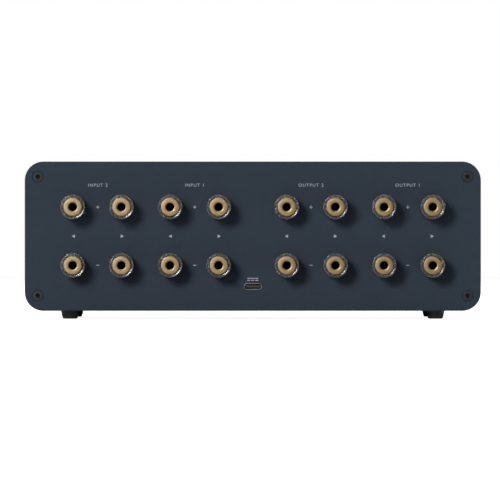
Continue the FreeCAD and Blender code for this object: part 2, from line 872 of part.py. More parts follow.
def meter_housings():
    """Two open-fronted meter boxes side by side against the pane."""
    body = part(front_body("meter_housings"))
    outside = new_sketch(body, "housing_outline", offset=(meter_x, pane_back, 0))
    rectangle(outside, S.meter_width, S.meter_height)
    pad(body, outside, S.meter_depth)
    inside = new_sketch(body, "housing_inside", offset=(meter_x, pane_back, 0))
    wall = S.meter_wall
    rectangle(inside, S.meter_width - wall * 2, S.meter_height - wall * 2)
    pocket(body, inside, S.meter_depth - wall)
    mirror(body, "YZ_Plane")


def meter_dials():
    """The two scale plates, each with a hole for its needle's shaft."""
    body = part(front_body("meter_dials"))
    outline = new_sketch(body, "dial_outline", offset=(meter_x, dial_front, 0))
    margin = (S.meter_wall + S.dial_margin) * 2
    rectangle(outline, S.meter_width - margin, S.meter_height - margin)
    circle(outline, 0, -S.pivot_drop, S.needle_dial_hole_radius)
    pad(body, outline, S.dial_thickness)
    mirror(body, "YZ_Plane")


def meter_movements():
    """The two moving-coil movements that carry the dials and the needles' bearings."""
    body = part(front_body("meter_movements"))
    outline = new_sketch(body, "movement_outline", offset=(meter_x, dial_back, 0))
    rectangle(outline, S.movement_width, S.movement_height, 0, -S.movement_drop)
    pad(body, outline, meter_back - S.meter_wall - dial_back)
    bearing = new_sketch(body, "bearing_bore", offset=(meter_x, dial_back, 0))
    circle(bearing, 0, -S.pivot_drop, S.needle_shaft_radius + S.needle_bearing_clearance)
    pocket(body, bearing, S.needle_shaft_length)
    mirror(body, "YZ_Plane")


def needle(name, side):
    """A meter's needle with its hub and shaft, resting at the low end of its scale."""
    place = meter_x * side
    body = part(front_body(name, place, -S.pivot_drop, tilt=-S.needle_rest_angle.value))
    hub_front = dial_front - S.needle_dial_gap - S.needle_hub_length
    hub = new_sketch(body, "hub_outline_" + name, offset=(0, hub_front, 0))
    circle(hub, 0, 0, S.needle_hub_radius)
    pad(body, hub, S.needle_hub_length)
    blade_front = hub_front + (S.needle_hub_length - S.needle_thickness) / 2
    blade = new_sketch(body, "blade_outline_" + name, offset=(0, blade_front, 0))
    polygon(blade, [
        (-S.needle_half_width, 0),
        (S.needle_half_width, 0),
        (S.needle_tip_half_width, S.needle_length),
        (-S.needle_tip_half_width, S.needle_length),
    ])
    pad(body, blade, S.needle_thickness)
    shaft_front = hub_front + S.needle_hub_length
    shaft = new_sketch(body, "shaft_outline_" + name, offset=(0, shaft_front, 0))
    circle(shaft, 0, 0, S.needle_shaft_radius)
    pad(body, shaft, S.needle_shaft_length)


# Selector knobs and button

def knob(name, side):
    """A selector knob with a pointer slot in its face, pressed on its switch's shaft."""
    grip = front_body(name + "_grip", knob_x * side)
    front = -S.knob_reach
    hollow = -S.knob_panel_gap - S.knob_hollow_depth
    socket = front + S.knob_cap_thickness
    turned(grip, name + "_profile", [
        (0, front),
        (S.knob_radius - S.knob_rim_chamfer, front),
        (S.knob_radius, front + S.knob_rim_chamfer),
        (S.knob_radius, -S.knob_panel_gap),
        (S.knob_hollow_radius, -S.knob_panel_gap),
        (S.knob_hollow_radius, hollow),
        (S.shaft_radius, hollow),
        (S.shaft_radius, socket),
        (0, socket),
    ])
    mark = new_sketch(grip, name + "_mark", offset=(0, front, 0))
    middle = S.knob_radius - S.knob_mark_length / 2
    rectangle(mark, S.knob_mark_width, S.knob_mark_length, 0, middle)
    pocket(grip, mark, S.knob_mark_depth)
    shaft = front_body(name + "_shaft", knob_x * side)
    turned(shaft, name + "_shaft_profile", [
        (0, socket),
        (S.shaft_radius, socket),
        (S.shaft_radius, S.shaft_depth),
        (0, S.shaft_depth),
    ])
    whole = document.addObject("Part::Compound", name)
    whole.Label = name
    whole.Links = [grip, shaft]
    part(whole)


def rotary_switches():
    """The two selector switches, each with the threaded bush that passes the panel."""
    body = part(front_body("rotary_switches"))
    place = (knob_x, S.front_panel_thickness, 0)
    case = new_sketch(body, "switch_outline", offset=place)
    rectangle(case, S.switch_width, S.switch_width)
    pad(body, case, meter_back - S.front_panel_thickness)
    bush = new_sketch(body, "bush_outline", offset=(knob_x, bush_end, 0))
    circle(bush, 0, 0, S.bush_radius)
    pad(body, bush, S.front_panel_thickness - bush_end)
    bore = new_sketch(body, "bush_bore", offset=(knob_x, bush_end, 0))
    circle(bore, 0, 0, S.shaft_radius + S.shaft_clearance)
    pocket(body, bore, S.shaft_depth + S.switch_bore_floor - bush_end)
    mirror(body, "YZ_Plane")


def bush_nuts():
    """The two nuts that hold the switches to the panel, inside the knobs' hollows."""
    body = part(front_body("bush_nuts"))
    place = (knob_x, -S.bush_nut_thickness, 0)
    outline = new_sketch(body, "bush_nut_outline", offset=place)
    hexagon(outline, S.bush_nut_width)
    circle(outline, 0, 0, S.bush_radius)
    pad(body, outline, S.bush_nut_thickness)
    mirror(body, "YZ_Plane")


def light_button():
    """The push button for the meters' light, kept in by its flange."""
    body = part(front_body("light_button", knob_x, -S.button_drop))
    flange = S.front_panel_thickness + S.button_flange_gap
    flange_end = flange + S.button_flange_thickness
    rod_end = tact_top - S.button_switch_gap - S.button_travel
    turned(body, "button_profile", [
        (0, -S.button_reach),
        (S.button_radius - S.button_edge_chamfer, -S.button_reach),
        (S.button_radius, S.button_edge_chamfer - S.button_reach),
        (S.button_radius, flange),
        (S.button_flange_radius, flange),
        (S.button_flange_radius, flange_end),
        (S.button_rod_radius, flange_end),
        (S.button_rod_radius, rod_end),
        (0, rod_end),
    ])


def button_switch():
    """The small switch on the front board that the button presses."""
    body = part(front_body("button_switch", knob_x, -S.button_drop))
    block_front = meter_back - S.tact_depth
    block = new_sketch(body, "tact_outline", offset=(0, block_front, 0))
    rectangle(block, S.tact_width, S.tact_width)
    pad(body, block, S.tact_depth)
    plunger = new_sketch(body, "tact_plunger", offset=(0, tact_top, 0))
    circle(plunger, 0, 0, S.tact_plunger_radius)
    pad(body, plunger, S.tact_plunger_height)


# Build and export

case_sleeve()
rear_panel()
front_panel()
panel_screws()
feet()
foot_screws()
post_stems()
outer_insulators()
inner_insulators()
post_nuts()
screw_caps()
usb_c_shell()
usb_c_tongue()
terminal_board()
relays()
front_board()
ribbon_cable()
meter_window()
meter_housings()
meter_dials()
meter_movements()
needle("left_needle", -1)
needle("right_needle", 1)
knob("input_knob", -1)
knob("output_knob", 1)
rotary_switches()
bush_nuts()
light_button()
button_switch()
document.recompute()

for made_object in document.Objects:
    if "Invalid" in made_object.State or "Error" in made_object.State:
        raise RuntimeError(f"{made_object.Label} failed: {made_object.State}")
for sub_part in parts:
    if sub_part.Shape.isNull() or not sub_part.Shape.isValid():
        raise RuntimeError(f"{sub_part.Label} has no valid shape")
for sub_part in parts:
    sub_part.Shape.exportStep(f"parts/{sub_part.Label}.step")
print(f"{len(parts)} sub-parts written")
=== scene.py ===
import json
import math

import bmesh
import bpy
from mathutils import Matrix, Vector


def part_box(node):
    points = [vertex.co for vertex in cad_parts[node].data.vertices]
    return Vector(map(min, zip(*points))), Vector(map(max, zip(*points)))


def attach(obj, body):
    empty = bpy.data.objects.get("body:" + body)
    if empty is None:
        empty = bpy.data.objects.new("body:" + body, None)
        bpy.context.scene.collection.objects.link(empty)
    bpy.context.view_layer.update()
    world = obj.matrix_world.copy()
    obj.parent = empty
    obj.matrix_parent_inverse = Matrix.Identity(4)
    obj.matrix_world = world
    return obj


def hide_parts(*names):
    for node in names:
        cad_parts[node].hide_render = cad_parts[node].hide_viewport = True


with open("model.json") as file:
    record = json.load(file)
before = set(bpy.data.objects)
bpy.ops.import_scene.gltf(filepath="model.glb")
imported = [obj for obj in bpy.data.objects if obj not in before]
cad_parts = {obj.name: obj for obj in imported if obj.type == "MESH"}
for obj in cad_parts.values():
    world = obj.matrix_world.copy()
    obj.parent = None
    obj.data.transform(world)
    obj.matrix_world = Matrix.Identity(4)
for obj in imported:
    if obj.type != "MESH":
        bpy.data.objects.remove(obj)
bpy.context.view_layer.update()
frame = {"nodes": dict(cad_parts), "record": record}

# Units and places read from the frame
MM = 0.001
PRINT_THICKNESS = 0.03
rear_low, rear_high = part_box("rear_panel")
front_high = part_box("front_panel")[1]
dial_low, dial_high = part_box("meter_dials")
REAR_FACE = rear_low.y
FRONT_FACE = front_high.y
MIDDLE_Z = (rear_low.z + rear_high.z) / 2
POSTS = [
    (mount["name"].split("_")[1], mount["pos_m"][0] / MM, (mount["pos_m"][2] - MIDDLE_Z) / MM)
    for mount in frame["record"]["mounts"]
    if mount["kind"] == "bore"
]
POST_COLUMNS = sorted({round(x, 3) for number, x, z in POSTS})
POST_ROW = max(z for number, x, z in POSTS)
GROUP_CENTRES = [
    (POST_COLUMNS[first] + POST_COLUMNS[first + 1]) / 2 for first in range(0, len(POST_COLUMNS), 2)
]


def rear(u, depth, v):
    """A point of the connection panel: across, inward and up, in millimetres."""
    return Vector((u * MM, REAR_FACE + depth * MM, MIDDLE_Z + v * MM))


def front(u, depth, v):
    """A point of the user's panel, as its user sees it: across, inward and up."""
    return Vector((-u * MM, FRONT_FACE - depth * MM, MIDDLE_Z + v * MM))


def ground(u, depth, v):
    """A point over the floor: x, height and y."""
    return Vector((u * MM, v * MM, depth * MM))


# Camera, light and floor
CAMERA_DISTANCE = 3.83
LENS = 556.6
SHIFT = (-0.0056, -0.0276)
FLOOR_HALF = 4.0
FLOOR_GLOW = 0.93
STUDIO_GLOW = 0.06
STUDIO_BELOW = (0.30, 0.30, 0.31, 1)
STUDIO_ABOVE = (1, 1, 1, 1)
WHITE = (1, 1, 1, 1)
# Each light's place and size in metres, and its power in watts
LIGHTS = {
    "key": ((-0.70, -2.45, 0.62), (0.55, 0.55), 22.5),
    "right_strip": ((1.7, 0.1, 0.35), (0.3, 0.7), 5.0),
    "left_strip": ((-1.7, 0.1, 0.35), (0.3, 0.7), 5.0),
    "top": ((0, 0.5, 2.2), (2.0, 1.0), 14.0),
    "user_side": ((1.0, 2.4, 1.2), (1.0, 1.0), 36.0),
}


def make_camera():
    """A camera far in front of the connection panel, with a long lens."""
    data = bpy.data.cameras.new("camera")
    data.sensor_width = 36.0
    data.lens = LENS
    data.shift_x, data.shift_y = SHIFT
    data.clip_end = 100.0
    camera = bpy.data.objects.new("camera", data)
    camera.location = (0, REAR_FACE - CAMERA_DISTANCE, MIDDLE_Z)
    camera.rotation_euler = (math.pi / 2, 0, 0)
    bpy.context.collection.objects.link(camera)
    bpy.context.scene.camera = camera


def make_light(name, place, size, watts):
    """A soft square light that looks at the object's middle."""
    data = bpy.data.lights.new(name, "AREA")
    data.shape = "RECTANGLE"
    data.size, data.size_y = size
    data.energy = watts
    light = bpy.data.objects.new(name, data)
    light.location = place
    aim = Vector((0, 0, MIDDLE_Z)) - Vector(place)
    light.rotation_euler = aim.to_track_quat("-Z", "Y").to_euler()
    bpy.context.collection.objects.link(light)


def make_world():
    """White to look at, and a dim studio, paler above, to be lit by and to reflect."""
    world = bpy.data.worlds.new("studio")
    bpy.context.scene.world = world
    world.use_nodes = True
    nodes, links = world.node_tree.nodes, world.node_tree.links
    nodes.clear()
    output = nodes.new("ShaderNodeOutputWorld")
    mix = nodes.new("ShaderNodeMixShader")
    seen = nodes.new("ShaderNodeBackground")
    seen.inputs["Color"].default_value = WHITE
    seen.inputs["Strength"].default_value = 1.0
    studio = nodes.new("ShaderNodeBackground")
    studio.inputs["Strength"].default_value = STUDIO_GLOW
    ramp = nodes.new("ShaderNodeValToRGB")
    ramp.color_ramp.elements[0].color = STUDIO_BELOW
    ramp.color_ramp.elements[1].color = STUDIO_ABOVE
    split = nodes.new("ShaderNodeSeparateXYZ")
    place = nodes.new("ShaderNodeTexCoord")
    # A direction's height, from 0 straight down to 1 straight up
    half = nodes.new("ShaderNodeMath")
    half.operation = "MULTIPLY_ADD"
    half.inputs[1].default_value = 0.5
    half.inputs[2].default_value = 0.5
    rays = nodes.new("ShaderNodeLightPath")
    links.new(place.outputs["Generated"], split.inputs[0])
    links.new(split.outputs["Z"], half.inputs[0])
    links.new(half.outputs[0], ramp.inputs["Fac"])
    links.new(ramp.outputs["Color"], studio.inputs["Color"])
    links.new(rays.outputs["Is Camera Ray"], mix.inputs[0])
    links.new(studio.outputs[0], mix.inputs[1])
    links.new(seen.outputs[0], mix.inputs[2])
    links.new(mix.outputs[0], output.inputs[0])


# Materials

def linear(colour):
    """Screen colour to scene colour."""
    return tuple(
        channel / 12.92 if channel <= 0.04045 else ((channel + 0.055) / 1.055) ** 2.4
        for channel in colour
    )


class Material:
    """A material's nodes, built up step by step."""

    def __init__(self, name, colour, roughness, metallic=0.0):
        self.made = bpy.data.materials.new(name)
        self.made.use_nodes = True
        self.nodes = self.made.node_tree.nodes
        self.links = self.made.node_tree.links
        self.shader = self.nodes["Principled BSDF"]
        self.colour = (*linear(colour), 1)
        self.shader.inputs["Base Color"].default_value = self.colour
        self.shader.inputs["Roughness"].default_value = roughness
        self.shader.inputs["Metallic"].default_value = metallic
        self.last_normal = None

    def set(self, socket, value):
        """A value that is the same all over."""
        self.shader.inputs[socket].default_value = value
        return self

    def noise(self, scale, detail=3.0, stretch=(1, 1, 1)):
        """Noise through the object's own space."""
        place = self.nodes.new("ShaderNodeTexCoord")
        mapping = self.nodes.new("ShaderNodeMapping")
        mapping.inputs["Scale"].default_value = stretch
        texture = self.nodes.new("ShaderNodeTexNoise")
        texture.inputs["Scale"].default_value = scale
        texture.inputs["Detail"].default_value = detail
        self.links.new(place.outputs["Object"], mapping.inputs["Vector"])
        self.links.new(mapping.outputs["Vector"], texture.inputs["Vector"])
        return texture.outputs["Fac"]

    def rings(self, scale):
        """Fine rings along a turned surface's profile."""
        place = self.nodes.new("ShaderNodeUVMap")
        place.uv_map = "turned"
        split = self.nodes.new("ShaderNodeSeparateXYZ")
        texture = self.nodes.new("ShaderNodeTexNoise")
        texture.noise_dimensions = "1D"
        texture.inputs["Scale"].default_value = scale
        texture.inputs["Detail"].default_value = 2.0
        self.links.new(place.outputs["UV"], split.inputs[0])
        self.links.new(split.outputs["Y"], texture.inputs["W"])
        return texture.outputs["Fac"]

    def bump(self, height, depth):
        """Relief of a real depth in metres."""
        bump = self.nodes.new("ShaderNodeBump")
        bump.inputs["Distance"].default_value = depth
        self.links.new(height, bump.inputs["Height"])
        if self.last_normal is not None:
            self.links.new(self.last_normal, bump.inputs["Normal"])
        self.last_normal = bump.outputs["Normal"]
        self.links.new(self.last_normal, self.shader.inputs["Normal"])
        return self

    def spread(self, socket, factor, low, high):
        """Let a value of the shader wander between two limits."""
        ramp = self.nodes.new("ShaderNodeMapRange")
        ramp.inputs["From Min"].default_value = 0.3
        ramp.inputs["From Max"].default_value = 0.7
        ramp.inputs["To Min"].default_value = low
        ramp.inputs["To Max"].default_value = high
        self.links.new(factor, ramp.inputs["Value"])
        self.links.new(ramp.outputs["Result"], self.shader.inputs[socket])
        return self

    def tint(self, factor, darker, lighter):
        """Let the colour wander between a darker and a lighter share of itself."""
        ramp = self.nodes.new("ShaderNodeValToRGB")
        low, high = ramp.color_ramp.elements
        low.position, high.position = 0.3, 0.7
        low.color = (*(channel * darker for channel in self.colour[:3]), 1)
        high.color = (*(channel * lighter for channel in self.colour[:3]), 1)
        self.links.new(factor, ramp.inputs["Fac"])
        self.links.new(ramp.outputs["Color"], self.shader.inputs["Base Color"])
        return self


def powder_coat(name, colour, roughness):
    """Fine textured paint."""
    paint = Material(name, colour, roughness)
    low, high = roughness - 0.03, roughness + 0.03
    paint.bump(paint.noise(5200.0, 2.0), 2.2e-5)
    paint.set("Specular IOR Level", 0.35)
    paint.tint(paint.noise(900.0, 4.0), 0.94, 1.06)
    return paint.spread("Roughness", paint.noise(240.0), low, high).made


def moulded(name, colour, roughness):
    """Moulded plastic or rubber."""
    plastic = Material(name, colour, roughness)
    low, high = roughness - 0.06, roughness + 0.06
    plastic.bump(plastic.noise(2600.0, 2.0), 8e-6)
    plastic.tint(plastic.noise(300.0), 0.88, 1.12)
    return plastic.spread("Roughness", plastic.noise(420.0), low, high).made


def polished_rubber(name, colour, roughness):
    """Moulded rubber with a shiny skin."""
    rubber = Material(name, colour, roughness)
    low, high = roughness - 0.06, roughness + 0.06
    rubber.set("Specular IOR Level", 0.9)
    rubber.set("Coat Weight", 1.0)
    rubber.set("Coat Roughness", 0.08)
    rubber.bump(rubber.noise(2600.0, 2.0), 5e-6)
    rubber.tint(rubber.noise(300.0), 0.88, 1.12)
    return rubber.spread("Roughness", rubber.noise(420.0), low, high).made


def turned_metal(name, colour, roughness, ring_scale=9.0, depth=3e-6):
    """Metal turned on a lathe, with rings that follow its profile."""
    metal = Material(name, colour, roughness, 1.0)
    low, high = roughness - 0.05, roughness + 0.06
    metal.bump(metal.rings(ring_scale), depth)
    metal.bump(metal.noise(5200.0, 2.0), 1.2e-6)
    metal.tint(metal.noise(700.0, 3.0), 0.90, 1.06)
    return metal.spread("Roughness", metal.rings(ring_scale / 2), low, high).made


def plated(name, colour, roughness):
    """Plated or stamped metal."""
    metal = Material(name, colour, roughness, 1.0)
    low, high = roughness - 0.06, roughness + 0.06
    metal.bump(metal.noise(3200.0, 3.0), 2e-6)
    metal.tint(metal.noise(500.0), 0.90, 1.05)
    return metal.spread("Roughness", metal.noise(900.0), low, high).made


def clear(name, colour, roughness, ior, share):
    """Clear moulded plastic that lets a share of the light through."""
    glass = Material(name, colour, roughness)
    glass.set("Transmission Weight", share)
    glass.set("IOR", ior)
    glass.bump(glass.noise(700.0, 2.0), 4e-6)
    return glass.made


def window_glass(name):
    """A thin clear window with faint smears, that lets the light through."""
    glass = Material(name, (0.90, 0.93, 0.95), 0.03)
    glass.set("Alpha", 0.12)
    glass.spread("Roughness", glass.noise(35.0, 4.0), 0.02, 0.08)
    return glass.made


def circuit_board(name):
    """Green solder mask over faint copper tracks."""
    board = Material(name, (0.07, 0.27, 0.16), 0.4)
    tracks = board.noise(260.0, 0.0, (1.0, 1.0, 0.25))
    board.tint(tracks, 0.75, 1.30)
    return board.bump(tracks, 2e-5).made


DIAL_PAINTED_GLOW_COLOUR = (1.0, 0.90, 0.66)
DIAL_PAINTED_GLOW = 0.22


def dial_card(name):
    """Warm printed card with a faint painted glow that stands in for the meter lamp's light."""
    card = Material(name, (0.95, 0.90, 0.74), 0.6)
    card.tint(card.noise(60.0), 0.96, 1.03)
    # Painted glow: the card gives off warm light of its own, though it is no lamp
    card.set("Emission Color", (*linear(DIAL_PAINTED_GLOW_COLOUR), 1))
    card.set("Emission Strength", DIAL_PAINTED_GLOW)
    return card.bump(card.noise(4000.0, 2.0), 6e-6).made


def flat_cable(name):
    """Grey ribbon with the ridges of its cores along its length, and painted shade in the grooves
    between them.
    """
    cable = Material(name, (0.66, 0.66, 0.68), 0.5)
    place = cable.nodes.new("ShaderNodeTexCoord")
    wave = cable.nodes.new("ShaderNodeTexWave")
    wave.bands_direction = "X"
    wave.inputs["Scale"].default_value = 250.0
    cable.links.new(place.outputs["Object"], wave.inputs["Vector"])
    # Painted shade: the wave that raises the ridges also darkens the grooves between them
    return cable.bump(wave.outputs["Fac"], 2e-4).tint(wave.outputs["Fac"], 0.7, 1.0).made


PAINT = powder_coat("panel_paint", (0.224, 0.279, 0.344), 0.66)
SLEEVE_PAINT = powder_coat("sleeve_paint", (0.214, 0.267, 0.329), 0.80)
GOLD = turned_metal("gold_plate", (0.655, 0.565, 0.425), 0.38)
STEM_GOLD = turned_metal("stem_gold", (0.80, 0.64, 0.42), 0.30)
BLACK_STEEL = moulded("black_steel", (0.150, 0.168, 0.205), 0.52)
# Near-black painted shade, laid on the insides of the plug bores and hex drives where little light
# reaches
PAINTED_RECESS_SHADE = moulded("painted_recess_shade", (0.025, 0.025, 0.025), 0.8)
ZINC = plated("zinc_steel", (0.66, 0.67, 0.70), 0.35)
NICKEL = plated("nickel_steel", (0.84, 0.86, 0.91), 0.36)
RUBBER = polished_rubber("foot_rubber", (0.27, 0.28, 0.275), 0.20)
NYLON = moulded("black_nylon", (0.07, 0.07, 0.075), 0.45)
GREY_PLASTIC = moulded("grey_plastic", (0.36, 0.36, 0.37), 0.5)
RELAY = moulded("relay_plastic", (0.09, 0.10, 0.13), 0.3)
BOARD = circuit_board("circuit_board")
RIBBON = flat_cable("ribbon_grey")
CARD = dial_card("dial_card")
JACKET = clear("clear_jacket", (0.93, 0.95, 0.97), 0.15, 1.49, 0.9)
PANE = window_glass("clear_pane")
KNOB_METAL = turned_metal("knob_aluminium", (0.30, 0.33, 0.37), 0.33, 6.0, 4e-6)
NEEDLE = moulded("needle_paint", (0.05, 0.05, 0.05), 0.5)
INK_WHITE = moulded("print_white", (0.88, 0.90, 0.93), 0.6)
INK_BLACK = moulded("print_black", (0.08, 0.08, 0.08), 0.6)
INK_RED = moulded("print_red", (0.72, 0.13, 0.10), 0.6)

NODE_FINISH = {
    "case_sleeve": SLEEVE_PAINT,
    "rear_panel": PAINT,
    "front_panel": PAINT,
    "foot_screws": ZINC,
    "outer_insulators": NYLON,
    "inner_insulators": NYLON,
    "post_nuts": ZINC,
    "usb_c_tongue": GREY_PLASTIC,
    "terminal_board": BOARD,
    "front_board": BOARD,
    "relays": RELAY,
    "ribbon_cable": RIBBON,
    "meter_window": PANE,
    "meter_housings": NYLON,
    "meter_dials": CARD,
    "meter_movements": NYLON,
    "left_needle": NEEDLE,
    "right_needle": NEEDLE,
    "rotary_switches": ZINC,
    "bush_nuts": NICKEL,
    "button_switch": NYLON,
}
for node, finish in NODE_FINISH.items():
    data = frame["nodes"][node].data
    data.materials.clear()
    data.materials.append(finish)


# Mesh making

SHARP_ANGLE = math.radians(32)
TINY = 0.001
EASE_STEPS = 6
WELD = 1e-7
CAPITAL_SHARE = 0.72


def cleaned(bm):
    """Weld a mesh's seams and turn its faces outward."""
    bmesh.ops.remove_doubles(bm, verts=bm.verts, dist=WELD)
    bmesh.ops.dissolve_degenerate(bm, edges=bm.edges, dist=WELD)
    bmesh.ops.recalc_face_normals(bm, faces=bm.faces)


def kept(name, bm, finish, body, replaced=()):
    """Turn a mesh into a piece that rides on a body."""
    cleaned(bm)
    mesh = bpy.data.meshes.new(name)
    bm.to_mesh(mesh)
    bm.free()
    mesh.shade_smooth()
    mesh.set_sharp_from_angle(angle=SHARP_ANGLE)
    for each in finish if isinstance(finish, tuple) else (finish,):
        mesh.materials.append(each)
    piece = bpy.data.objects.new(name, mesh)
    bpy.context.collection.objects.link(piece)
    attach(piece, body)
    if replaced:
        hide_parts(*replaced)
    return piece


def eased(corners):
    """A closed profile whose corners (radius, depth, easing) are rounded by their easing."""
    profile = []
    for index, (radius, depth, ease) in enumerate(corners):
        here = Vector((radius, depth))
        if not ease:
            profile.append((radius, depth))
            continue
        before = Vector(corners[index - 1][:2]) - here
        after = Vector(corners[(index + 1) % len(corners)][:2]) - here
        for step in range(EASE_STEPS + 1):
            share = step / EASE_STEPS
            point = here + before.normalized() * ease * (1 - share) ** 2
            point += after.normalized() * ease * share ** 2
            profile.append((point.x, point.y))
    return profile


def loft(bm, rings, lengths, closed=True):
    """Faces between rings of points, with the profile's length kept beside them."""
    layer = bm.loops.layers.uv.get("turned") or bm.loops.layers.uv.new("turned")
    rows = [[bm.verts.new(point) for point in ring] for ring in rings]
    count = len(rows[0])
    pairs = list(zip(range(len(rows)), range(1, len(rows))))
    if closed:
        pairs.append((len(rows) - 1, 0))
    for low, high in pairs:
        top = lengths[high] if high else lengths[-1]
        for step in range(count):
            after = (step + 1) % count
            corners = (rows[low][step], rows[low][after], rows[high][after], rows[high][step])
            face = bm.faces.new(corners)
            across = (step / count, (step + 1) / count)
            marks = ((across[0], lengths[low]), (across[1], lengths[low]))
            marks += ((across[1], top), (across[0], top))
            for loop, mark in zip(face.loops, marks):
                loop[layer].uv = mark


def profile_lengths(profile):
    """How far along its profile each point lies."""
    lengths = [0.0]
    for start, end in zip(profile, profile[1:]):
        lengths.append(lengths[-1] + math.dist(start, end))
    return lengths


def turn(bm, profile, place, centre=(0, 0), steps=64, shape=None, closed=True):
    """Turn a profile of radius and depth in millimetres about a centre."""
    rings = []
    for radius, depth in profile:
        ring = []
        for step in range(steps):
            angle = math.tau * step / steps
            reach = shape(radius, depth, angle) if shape else radius
            across = centre[0] + reach * math.cos(angle)
            ring.append(place(across, depth, centre[1] + reach * math.sin(angle)))
        rings.append(ring)
    loft(bm, rings, profile_lengths(profile), closed)


def round_box(half_width, half_height, corner, steps=6):
    """The points of a rectangle with round corners, about its middle."""
    points = []
    for quarter, (side, level) in enumerate(((1, 1), (-1, 1), (-1, -1), (1, -1))):
        for step in range(steps + 1):
            angle = math.pi / 2 * (quarter + step / steps)
            across = side * (half_width - corner) + corner * math.cos(angle)
            points.append((across, level * (half_height - corner) + corner * math.sin(angle)))
    return points


def prism(bm, outline, place, near, far):
    """A flat outline given thickness between two depths."""
    low = [bm.verts.new(place(u, near, v)) for u, v in outline]
    high = [bm.verts.new(place(u, far, v)) for u, v in outline]
    bm.faces.new(low)
    bm.faces.new(list(reversed(high)))
    for index in range(len(outline)):
        after = (index + 1) % len(outline)
        bm.faces.new((low[index], high[index], high[after], low[after]))


def bar(centre, width, height):
    """The outline of a plain bar."""
    u, v = centre
    return [
        (u - width / 2, v - height / 2),
        (u + width / 2, v - height / 2),
        (u + width / 2, v + height / 2),
        (u - width / 2, v + height / 2),
    ]


def printed(name, outlines, place, depth, ink):
    """Flat print a few hundredths of a millimetre thick on a face."""
    bm = bmesh.new()
    for outline in outlines:
        prism(bm, outline, place, depth, depth - PRINT_THICKNESS)
    return kept(name, bm, ink, "case")


def lettered(name, text, place, u, v, height, depth, ink, slot, turned_round=False, gap=1.0):
    """Lettering printed on a face, by the height of its capitals."""
    data = bpy.data.curves.new(name, "FONT")
    data.body = text
    data.size = height * MM / CAPITAL_SHARE
    data.align_x = "CENTER"
    data.align_y = "CENTER"
    data.space_character = gap
    data.extrude = PRINT_THICKNESS * MM / 2
    data.materials.append(ink)
    piece = bpy.data.objects.new(name, data)
    piece.location = place(u, depth - PRINT_THICKNESS / 2, v)
    piece.rotation_euler = (math.pi / 2, 0, math.pi if turned_round else 0)
    bpy.context.collection.objects.link(piece)
    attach(piece, "case")
    return piece


# Binding posts, depths in millimetres from the panel's face and negative outward

CAP_BOTTOM = (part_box("cap_nut_01")[1].y - REAR_FACE) / MM
CAP_FRONT = (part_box("cap_nut_01")[0].y - REAR_FACE) / MM
CAP_RADIUS = (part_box("cap_nut_01")[1].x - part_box("cap_nut_01")[0].x) / MM / 2
JACKET_FRONT = (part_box("cap_jacket_01")[0].y - REAR_FACE) / MM
JACKET_RADIUS = (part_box("cap_jacket_01")[1].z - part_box("cap_jacket_01")[0].z) / MM / 2
STEM_FRONT = (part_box("post_stems")[0].y - REAR_FACE) / MM
STEM_BACK = (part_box("post_stems")[1].y - REAR_FACE) / MM
THREAD_RADIUS = 3.0
THREAD_PITCH = 0.75
THREAD_DEPTH = 0.3
THREAD_STEPS = 6
THREAD_START = STEM_FRONT + 0.4
BORE_RADIUS = 2.0
NUT_BORE = THREAD_RADIUS + 0.05
NUT_HOLE = 2.06
NUT_WEB = 1.5
NUT_EASE = 0.5
COUNTERSINK_WIDTH = 0.5
COUNTERSINK_DEPTH = 0.11
CHAMFER = 0.3
FLANGE_RADIUS = 5.2
FLANGE_BACK = -2.5
FLANGE_FRONT = -4.0
THREAD_END = FLANGE_FRONT - 0.1
BORE_END = -1.0
TAIL_RADIUS = 1.5
TAIL_LENGTH = 3.0
FLUTES = 12
FLUTE_DEPTH = 0.5
FLUTE_RUN_OUT = 2.5
JACKET_BORE = CAP_RADIUS + 0.05
DISH_DEPTH = 0.22
WIRE_HOLE_DEPTH = -5.7
WIRE_HOLE_RADIUS = 1.1


def cap_nuts():
    """Gold caps: a flat turned face, an eased rim and a countersunk plug hole."""
    profile = eased([
        (NUT_BORE, CAP_BOTTOM, 0),
        (CAP_RADIUS, CAP_BOTTOM, 0.25),
        (CAP_RADIUS, CAP_FRONT, NUT_EASE),
        (NUT_HOLE + COUNTERSINK_WIDTH, CAP_FRONT, 0.08),
        (NUT_HOLE, CAP_FRONT + COUNTERSINK_DEPTH, 0.04),
        (NUT_HOLE, CAP_FRONT + NUT_WEB, 0),
        (NUT_BORE, CAP_FRONT + NUT_WEB, 0),
    ])
    for number, x, z in POSTS:
        bm = bmesh.new()
        turn(bm, profile, rear, (x, z))
        node = f"cap_nut_{number}"
        kept(f"gold_cap_{number}", bm, GOLD, node + "_body", [node])


def flute(radius, depth, angle):
    """A grip's radius, drawn in by its flutes towards the outside and back from the front."""
    share = max(0.0, (radius - JACKET_BORE) / (JACKET_RADIUS - JACKET_BORE))
    back = min(1.0, (depth - JACKET_FRONT) / FLUTE_RUN_OUT)
    return radius - FLUTE_DEPTH * share * back * (0.5 - 0.5 * math.cos(FLUTES * angle))


def cap_jackets():
    """Clear fluted grips round the caps, with a shallow dish in front."""
    profile = eased([
        (JACKET_BORE, CAP_BOTTOM, 0.1),
        (JACKET_RADIUS, CAP_BOTTOM, 0.3),
        (JACKET_RADIUS, JACKET_FRONT, 0.45),
        (JACKET_BORE, JACKET_FRONT + DISH_DEPTH, 0.1),
    ])
    for number, x, z in POSTS:
        bm = bmesh.new()
        turn(bm, profile, rear, (x, z), FLUTES * 8, flute)
        node = f"cap_jacket_{number}"
        kept(f"clear_grip_{number}", bm, JACKET, node + "_body", [node])


def thread(radius, depth, angle):
    """A stem's radius, cut by its thread in front of the flange."""
    if abs(radius - THREAD_RADIUS) > TINY or not THREAD_START < depth < THREAD_END:
        return radius
    phase = (depth / THREAD_PITCH + angle / math.tau) % 1.0
    return radius - THREAD_DEPTH * (1 - abs(2 * phase - 1))


